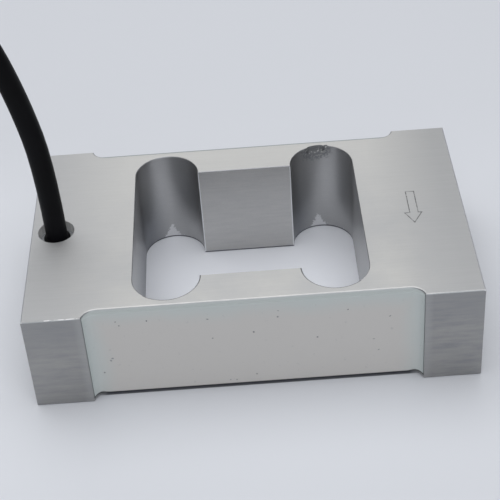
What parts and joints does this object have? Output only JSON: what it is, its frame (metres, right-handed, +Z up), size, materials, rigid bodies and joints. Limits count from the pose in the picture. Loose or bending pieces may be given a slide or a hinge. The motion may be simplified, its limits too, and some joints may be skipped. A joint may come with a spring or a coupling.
{
  "type": "single point load cell",
  "caption": "Milled aluminium beam with a four-flexure window, coated side recesses, a cable in its top face and tapped holes in both ends.",
  "frame": {"origin": "middle of the block's underside, the broad flank that the block lies on", "axes": "+X along the block's length, away from the cable pocket; +Y across its depth, against the etched load arrow; +Z up, through its thickness"},
  "size_m": [0.272, 0.0769, 0.1154],
  "materials": {
    "bare_aluminium": "milled and lightly blasted, satin",
    "sealing_coat": "grey silicone sealing compound, satin",
    "gauge_film": "amber polyimide film",
    "gauge_foil": "etched constantan foil",
    "nickel_foil": "etched nickel foil on film",
    "strip_laminate": "glass-fibre laminate",
    "bare_copper": "copper, bright",
    "tinned_metal": "tinned, bright",
    "chip_ceramic": "glazed chip",
    "lead_insulation": "thin fluoropolymer insulation",
    "splice_sleeve": "shrink sleeve",
    "red_insulation": "smooth vinyl insulation",
    "black_insulation": "smooth vinyl insulation",
    "green_insulation": "smooth vinyl insulation",
    "white_insulation": "smooth vinyl insulation",
    "pocket_potting": "grey silicone potting compound",
    "seal_rubber": "black rubber",
    "cable_jacket": "black flexible jacket, satin",
    "tie_plastic": "black nylon strap",
    "sleeve_plastic": "black shrink sleeve"
  },
  "bodies": {
    "root": {"load_cell_body": "bare_aluminium", "zero_balance_resistor": "chip_ceramic", "span_compensation_foil": "nickel_foil", "pocket_splices": "splice_sleeve", "pocket_potting": "pocket_potting", "cable_seal": "seal_rubber", "cable_jacket": "cable_jacket", "cable_coil": "cable_jacket", "coil_tie": "tie_plastic", "cable_end_sleeve": "sleeve_plastic", "tinned_lead_tips": "tinned_metal", "front_left_gauge_backing": "gauge_film", "front_left_gauge_grid": "gauge_foil", "front_right_gauge_backing": "gauge_film", "front_right_gauge_grid": "gauge_foil", "front_terminal_strip": "strip_laminate", "front_terminal_pads": "bare_copper", "front_solder_joints": "tinned_metal", "front_jumper_wires": "bare_copper", "front_bridge_leads": "lead_insulation", "front_sealing_coat": "sealing_coat", "rear_left_gauge_backing": "gauge_film", "rear_left_gauge_grid": "gauge_foil", "rear_right_gauge_backing": "gauge_film", "rear_right_gauge_grid": "gauge_foil", "rear_terminal_strip": "strip_laminate", "rear_terminal_pads": "bare_copper", "rear_solder_joints": "tinned_metal", "rear_jumper_wires": "bare_copper", "rear_bridge_leads": "lead_insulation", "rear_sealing_coat": "sealing_coat", "red_conductor": "red_insulation", "red_lead_end": "red_insulation", "black_conductor": "black_insulation", "black_lead_end": "black_insulation", "green_conductor": "green_insulation", "green_lead_end": "green_insulation", "white_conductor": "white_insulation", "white_lead_end": "white_insulation"}
  },
  "joints": []
}
